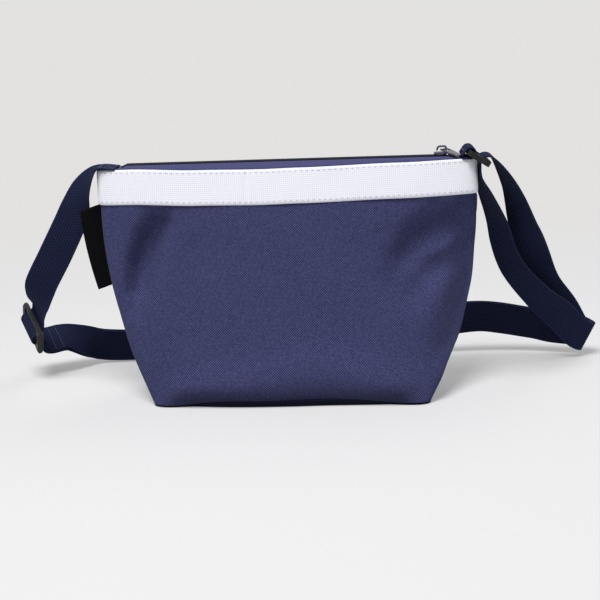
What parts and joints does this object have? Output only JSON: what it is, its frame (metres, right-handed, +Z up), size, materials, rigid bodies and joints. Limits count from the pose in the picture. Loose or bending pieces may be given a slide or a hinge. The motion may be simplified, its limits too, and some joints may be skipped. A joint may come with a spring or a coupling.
{
  "type": "shoulder pouch",
  "caption": "Navy cloth shoulder pouch with a white webbing band, a zip along the top, a bare side tag and an adjustable webbing strap lying behind it.",
  "frame": {"origin": "centre of the base, on the floor under the pouch", "axes": "+X along the zip towards the ring, +Y to the back, where the strap lies, +Z up from the base to the zip"},
  "size_m": [0.4548, 0.1343, 0.1803],
  "materials": {
    "navy_cloth": "matte woven",
    "navy_webbing": "matte ribbed",
    "white_webbing": "matte woven",
    "zip_tape_cloth": "matte woven",
    "zip_teeth": "satin",
    "gunmetal": "satin",
    "dark_plastic": "satin",
    "black_cloth": "matte",
    "binding_tape": "matte"
  },
  "bodies": {
    "bag": {"front_panel": "navy_cloth", "back_panel": "navy_cloth", "bottom_panel": "navy_cloth", "base_binding_front": "binding_tape", "base_binding_back": "binding_tape", "seam_binding_left": "binding_tape", "seam_binding_right": "binding_tape", "white_band": "white_webbing", "side_tag": "black_cloth", "zip_tape_front": "zip_tape_cloth", "zip_tape_back": "zip_tape_cloth", "zip_teeth_front": "zip_teeth", "zip_teeth_back": "zip_teeth", "zip_bottom_stop": "gunmetal", "zip_top_stop_front": "gunmetal", "zip_top_stop_back": "gunmetal", "ring_tab": "navy_webbing", "shoulder_strap": "navy_webbing"},
    "zip_slider": {"zip_slider": "gunmetal"},
    "zip_pull": {"zip_pull": "gunmetal"},
    "ring": {"strap_ring": "dark_plastic"},
    "adjuster": {"strap_adjuster": "dark_plastic"}
  },
  "joints": [
    {"name": "zip_slide", "type": "slide", "parent": "bag", "child": "zip_slider", "axis": [-1, 0, 0], "range_m": [0, 0.22], "deforming": ["zip_teeth_front", "zip_teeth_back"]},
    {"name": "pull_flip", "type": "hinge", "parent": "zip_slider", "child": "zip_pull", "pos_m": [0.11444, 0.00138, 0.1773], "axis": [-0.766, -0.6428, 0], "range_deg": [0, 65]},
    {"name": "ring_pivot", "type": "hinge", "parent": "bag", "child": "ring", "pos_m": [0.1319, 0, 0.1756], "axis": [0, 1, 0], "range_deg": [-5, 5]},
    {"name": "adjuster_rock", "type": "hinge", "parent": "bag", "child": "adjuster", "pos_m": [-0.206, 0.048, 0.041], "axis": [-0.4637, 0.6756, 0.5732], "range_deg": [-4, 4]}
  ]
}
